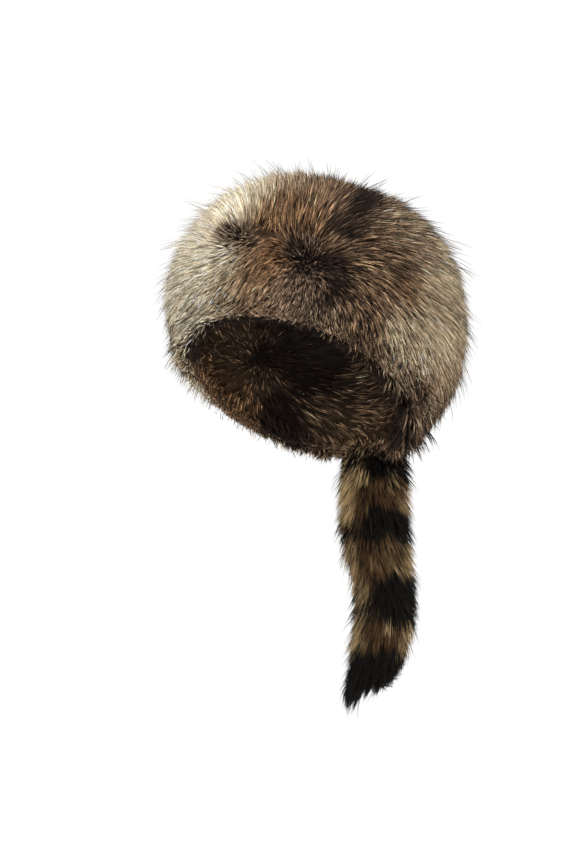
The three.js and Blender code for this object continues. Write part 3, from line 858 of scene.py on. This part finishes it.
def dress_inside(material):
    """The short dark fur inside the crown."""
    def shaded_undercoat_colour(climb, turn):
        light, dark = coat_at(climb, turn, INSIDE_COAT)
        # Painted at 0.4 of the light hair's colour and toward dark hair: painted shade deep in the fur
        return mix(light * 0.4, DARK_HAIR[None], np.clip(0.1 + dark[:, None], 0, 1))

    def undercoat_outer(climb, turn):
        return -GAP + 0 * climb

    def undercoat_inner(climb, turn):
        rough = 1 + 0.15 * ripple(crown_point(climb, turn, 0), 0.008)
        return -GAP * 2 - INSIDE_UNDERCOAT_SHARE * INSIDE_FUR * rough * hem_round(climb)

    crown_shell(
        "inside_undercoat", undercoat_outer, undercoat_inner, turns=80, climbs=30,
        colours=shaded_undercoat_colour, material=material, node="inside_fur",
    )
    climb, turn = gather_at_whorls(*spread_over_crown(INSIDE_TUFTS), INSIDE_WHORLS, INSIDE_WHORL_TUFTS)
    tufts = len(climb)
    tip = random.uniform(1.1, 1.9, tufts)

    def layer(share, climb, turn):
        return -INSIDE_FUR * mix(INSIDE_ROOT_SHARE, tip, share**0.8)

    def lowest(turn):
        return 0 * turn

    length = random.uniform(0.016, 0.032, tufts)
    paths, normals, shown = crown_paths(
        climb, turn, length, layer, INSIDE_WHORLS, INSIDE_FALL, wander=0.12, lowest=lowest,
    )
    light, dark = coat_at(*shown, INSIDE_COAT)
    hairs = grow_hairs(paths, -normals, "inside")
    # The inside's light hair is darkened as painted shade
    light = light * INSIDE_PAINTED_SHADE_KEEP
    colours = coat_colours(hairs, light, dark, DARK_HAIR, tip_dark=0.3, tones=(0.22, 0.80))
    add_hairs("inside_hair", hairs, colours, material, "inside_fur")


def dress_hem(material):
    """Hair that grows from the hem's rounded rim and hangs over it, longer in front than at the nape."""
    tufts = HEM_TUFTS
    turn = random.uniform(-math.pi, math.pi, tufts)
    # The angle round the rim at which a tuft grows: 0 at its lowest, below 0 inside, above 0 outside
    round_rim = random.uniform(-0.7, 0.9, tufts) * math.pi / 2
    outer = smooth(round_rim / 0.5 + 0.5)
    depth = outer_depth(0 * turn, turn)
    inside_root = -INSIDE_UNDERCOAT_SHARE * INSIDE_FUR * np.abs(np.sin(round_rim))
    outside_root = LEATHER + 0.9 * UNDERCOAT_SHARE * depth * np.abs(np.sin(round_rim))
    start_out = np.where(round_rim < 0, inside_root, outside_root)
    under = random.random(tufts) < UNDER_RIM_SHARE
    start_out = np.where(under, random.uniform(-0.001, LEATHER + 0.001, tufts), start_out)
    start_climb = np.where(under, -0.001, HEM_CLIMB * (1 - np.cos(round_rim)) + 0.005)
    outward = hang(0.4, 1.5, turn) * depth * np.sin(np.maximum(round_rim, 0))
    outward = outward * random.uniform(0.5, 1.2, tufts)
    inward = 0.004 * np.sin(np.maximum(-round_rim, 0)) * random.uniform(0.2, 1.3, tufts)
    lean = outward - inward
    over_tail = smooth((np.cos(turn - math.pi / 2) - 0.90) / 0.06)
    fall = hang(0.003, 0.020, turn) * random.uniform(0.5, 1.3, tufts) * mix(1, OVER_TAIL_FALL, over_tail)
    drift = random.normal(0, 0.03, tufts)
    points, normals = [], []
    for step in range(PATH_STEPS + 1):
        share = step / PATH_STEPS
        here = start_climb - fall / SHOULDER_HEIGHT * BAND_SHARE * share
        points.append(crown_point(here, turn + drift * share, start_out + lean * share**0.7))
        normals.append(crown_normal(here, turn + drift * share))
    paths, normals = crown_to_part(np.stack(points, 1)), crown_to_part(np.stack(normals, 1))
    inner_light, inner_dark = coat_at(start_climb, turn, INSIDE_COAT)
    outer_light, outer_dark = coat_at(start_climb, turn, COAT)
    # The hem's inward hair is darkened as painted shade
    light = mix(inner_light * HEM_INSIDE_PAINTED_SHADE_KEEP, outer_light, outer[:, None])
    # The hem's outer hair gets more dark hair towards the front: painted shade along the opening's front
    # edge
    dark = mix(inner_dark, np.clip(outer_dark + round_hem(0.22, 0, turn), 0, 0.9), outer)
    hairs = grow_hairs(paths, normals, "hem")
    colours = coat_colours(hairs, light, dark, DARK_HAIR, tip_dark=0.5)
    add_hairs("hem_hair", hairs, colours, material, "crown_fur")


# The tail's form, in the part's frame

def back_of_hem():
    radius = crown_section(np.array([0.0]), LEATHER + GAP + TAB_THICKNESS / 2)[0]
    foot = crown_to_part(np.array([[0.0, radius[0], 0.0]]))[0]
    return foot[1] + TAIL_BEHIND_TAB, foot[2]


TAIL_Y, TAIL_TOP_Z = back_of_hem()
LOCK_ENDS = random.random(TAIL_LOCKS)


def tail_section(along):
    """The tail's width, depth and sway at places along it."""
    stops, *columns = TAIL_SECTIONS.T
    return [np.interp(along, stops, column) for column in columns]


def tail_point(along, turn, share):
    """Spots of the tail at a turn round it; share runs from 0 on its axis to 1 on its outside."""
    width, depth, sway = tail_section(along)
    return np.stack([
        TAIL_WIDTH * (sway + np.cos(turn) * width * share / 2),
        TAIL_Y + TAIL_DEPTH * np.sin(turn) * depth * share / 2,
        TAIL_TOP_Z - TAIL_LENGTH * along + 0 * turn,
    ], -1)


def tail_paths(along, turn, length, root, tip):
    """The middle line of each tuft of the tail; close to the hem its root stands further out."""
    root = mix(root, TAIL_TOP_ROOT, smooth(1 - along / TAIL_TOP))
    lock = np.floor(turn / (2 * math.pi) * TAIL_LOCKS).astype(int) % TAIL_LOCKS
    aside = (lock + 0.5) / TAIL_LOCKS * 2 * math.pi - turn
    slant = SLANT * (0.5 + 0.5 * np.cos(turn + aside - SLANT_TURN))
    lock_end = np.minimum(TAIL_LIMIT, LOCK_REACH - slant - LOCK_SPREAD * LOCK_ENDS[lock])
    end = lock_end - LOCK_TAPER * np.abs(aside) * TAIL_LOCKS / math.pi
    length = np.minimum(length, end - along)
    gather = LOCK_GATHER * smooth((along - LOCK_START) / 0.12)
    points, normals = [], []
    for step in range(PATH_STEPS + 1):
        share = step / PATH_STEPS
        here = along + length * share
        toward = turn + aside * gather * share
        points.append(tail_point(np.minimum(here, TAIL_LIMIT), toward, mix(root, tip, share**0.7)))
        normals.append(np.stack([np.cos(toward), np.sin(toward), 0 * turn], -1))
    return np.stack(points, 1), np.stack(normals, 1)


def shorter_at_top(along):
    """A factor for the length of the tail's tufts, which are shorter close to the hem."""
    return mix(1, TAIL_TOP_HAIR, smooth(1 - along / TAIL_TOP))


def tail_coat(along, turn):
    """The tail's hair colour: tan between near-black rings, most of which fade on one side."""
    spots = tail_point(np.clip(along, 0, 1), turn, 1.0)
    ragged = along + RING_WAVER * ripple(spots, RING_WAVER_SIZE)
    faded = smooth((np.cos(turn - FADED_TURN) - 0.45) / 0.4)
    dark = np.zeros(len(along))
    for middle, half, faded_middle, faded_half, faded_strength in TAIL_RINGS:
        below = ragged - mix(middle, faded_middle, faded)
        edge = np.where(below < 0, UPPER_EDGE, LOWER_EDGE)
        strength = mix(1, faded_strength, faded)
        reach = mix(half, faded_half, faded)
        dark = np.maximum(dark, strength * smooth((reach - np.abs(below)) / edge + 0.5))
    streak_turn = mix(*STREAK_TURNS, smooth(along / STREAK_STEADY))
    streak = smooth((np.cos(turn - streak_turn) - 0.45) / 0.45)
    brown = np.clip(0.30 + 0.8 * streak + 0.5 * ripple(spots, 0.010), 0, 1)
    light = mix(TAIL_LIGHT[None], TAIL_BROWN[None], brown[:, None])
    return light, np.clip(mix(0.06 + 0.14 * streak, 1, dark), 0, 1)


def dress_tail(material):
    """The tail's fur: a matted body, then clumped tufts down and outward, then long guard hairs."""
    body_top = -0.02
    along = np.linspace(body_top, TAIL_BODY_END, 40)
    turn = np.linspace(0, 2 * math.pi, 28, endpoint=False)
    grid_along, grid_turn = (grid.ravel() for grid in np.meshgrid(along, turn, indexing="ij"))
    body_share = mix(0.35, 0.60, smooth((grid_along - body_top) / 0.10))
    body_share = body_share - 0.40 * smooth((grid_along - 0.5) / 0.3)
    rings = tail_point(grid_along, grid_turn, body_share)
    ends = tail_point(np.array([body_top, TAIL_BODY_END + 0.01]), np.zeros(2), 0.0)
    index = np.arange(len(rings)).reshape(len(along), len(turn))
    across = np.roll(index, -1, axis=1)
    quads = np.stack([index[:-1], index[1:], across[1:], across[:-1]], -1).reshape(-1, 4)
    caps = np.concatenate([
        np.stack([index[0], across[0], np.full(len(turn), len(rings))], -1),
        np.stack([across[-1], index[-1], np.full(len(turn), len(rings) + 1)], -1),
    ])
    light, dark = tail_coat(grid_along, grid_turn)
    # The matted body is painted at 0.35 of the light hair and toward dark: painted shade deep in the fur
    tint = mix(light * 0.35, TAIL_DARK[None] * 0.6, dark[:, None])
    verts = np.concatenate([rings, ends])
    tints = np.concatenate([tint, tint[:1], tint[-1:]])
    piece, _ = new_object("tail_undercoat", verts, quads, caps, tints)
    dress(piece, material, "tail_fur", "tail_fur")

    tufts = TAIL_TUFTS
    along = random.uniform(-0.05, 0.88, tufts)
    turn = random.uniform(0, 2 * math.pi, tufts)
    length = random.uniform(0.09, 0.15, tufts) * shorter_at_top(along)
    root = mix(0.40, 0.15, smooth((along - 0.6) / 0.2))
    tip = random.uniform(0.84, 1.04, tufts) + 0.10 * smooth(np.cos(turn - SLANT_TURN))
    paths, normals = tail_paths(along, turn, length, root, tip)
    light, dark = tail_coat(along + SHOWN_SHARE * length, turn)
    hairs = grow_hairs(paths, normals, "tail")
    colours = coat_colours(hairs, light, dark, TAIL_DARK, tip_dark=0.1, tones=(0.12, 0.14))
    add_hairs("tail_hair", hairs, colours, material, "tail_fur")

    guards = TAIL_GUARDS
    along = random.uniform(0.0, 0.86, guards)
    turn = random.uniform(0, 2 * math.pi, guards)
    length = random.uniform(0.10, 0.17, guards) * shorter_at_top(along)
    tip = random.uniform(0.96, 1.22, guards)
    paths, normals = tail_paths(along, turn, length, 0.4, tip)
    light, dark = tail_coat(along + SHOWN_SHARE * length, turn)
    hairs = grow_hairs(paths, normals, "tail_guard")
    dark = np.clip(dark + 0.35, 0, 1)
    colours = coat_colours(hairs, light * 0.6, dark, TAIL_DARK, tip_dark=0.6, tones=(0.14, 0.20))
    add_hairs("tail_guard_hair", hairs, colours, material, "tail_fur")


# Camera, floor and lights

def view_axes(turn, rise):
    back = Vector((math.sin(turn) * math.cos(rise), -math.cos(turn) * math.cos(rise), math.sin(rise)))
    right = Vector((math.cos(turn), math.sin(turn), 0))
    return back, right, back.cross(right)


def add_camera():
    back, right, up = view_axes(VIEW_TURN, VIEW_RISE)
    across = (FRAME_WIDTH_PX / 2 - OPENING_SPOT_PX[0]) * METRES_PER_PX
    above = (OPENING_SPOT_PX[1] - FRAME_HEIGHT_PX / 2) * METRES_PER_PX
    aim = right * across + up * above
    data = bpy.data.cameras.new("camera")
    data.sensor_width = SENSOR_MM
    data.lens = SENSOR_MM * VIEW_DISTANCE / (FRAME_HEIGHT_PX * METRES_PER_PX)
    data.clip_end = CAMERA_REACH
    camera = bpy.data.objects.new("camera", data)
    camera.location = aim + back * VIEW_DISTANCE
    camera.rotation_euler = back.to_track_quat("Z", "Y").to_euler()
    bpy.context.scene.collection.objects.link(camera)
    bpy.context.scene.camera = camera


def add_floor():
    size, level = FLOOR_HALF_SIDE, FLOOR_LEVEL
    corners = [(-size, -size, level), (size, -size, level), (size, size, level), (-size, size, level)]
    mesh = bpy.data.meshes.new("floor")
    mesh.from_pydata(corners, [], [(0, 1, 2, 3)])
    floor = bpy.data.objects.new("floor", mesh)
    bpy.context.scene.collection.objects.link(floor)
    material = bpy.data.materials.new("floor")
    material.use_nodes = True
    shader = material.node_tree.nodes["Principled BSDF"]
    shader.inputs["Base Color"].default_value = (0.95, 0.95, 0.95, 1)
    shader.inputs["Roughness"].default_value = 0.9
    mesh.materials.append(material)


def add_light(name, turn, rise, distance, size, power):
    """A soft square light at a turn and rise about the cap, in degrees, facing it."""
    back, _, _ = view_axes(math.radians(turn), math.radians(rise))
    data = bpy.data.lights.new(name, "AREA")
    data.size = size
    data.energy = power
    light = bpy.data.objects.new(name, data)
    light.location = back * distance
    light.rotation_euler = back.to_track_quat("Z", "Y").to_euler()
    bpy.context.scene.collection.objects.link(light)


def add_world(strength):
    world = bpy.data.worlds.new("studio")
    world.use_nodes = True
    background = world.node_tree.nodes["Background"]
    background.inputs["Color"].default_value = (1, 1, 1, 1)
    background.inputs["Strength"].default_value = strength
    bpy.context.scene.world = world


add_camera()
add_floor()
add_world(strength=1.0)
add_light("key", turn=5, rise=40, distance=2.2, size=0.5, power=31)
add_light("fill", turn=75, rise=10, distance=2.4, size=1.6, power=9)
add_light("front", turn=40, rise=-30, distance=2.2, size=1.2, power=28)
bpy.context.scene.view_settings.view_transform = "Standard"

fur = fur_material("fur", roughness=0.65, specular=0.12, grain=0.15, grain_size=0.004)
dress_crown(fur)
dress_inside(fur)
dress_hem(fur)
dress_tail(fur)
leather = leather_material("pelt_leather")
for name in ("crown_pelt", "tail_pelt"):
    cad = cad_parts[name]
    cad.data.materials.clear()
    cad.data.materials.append(leather)
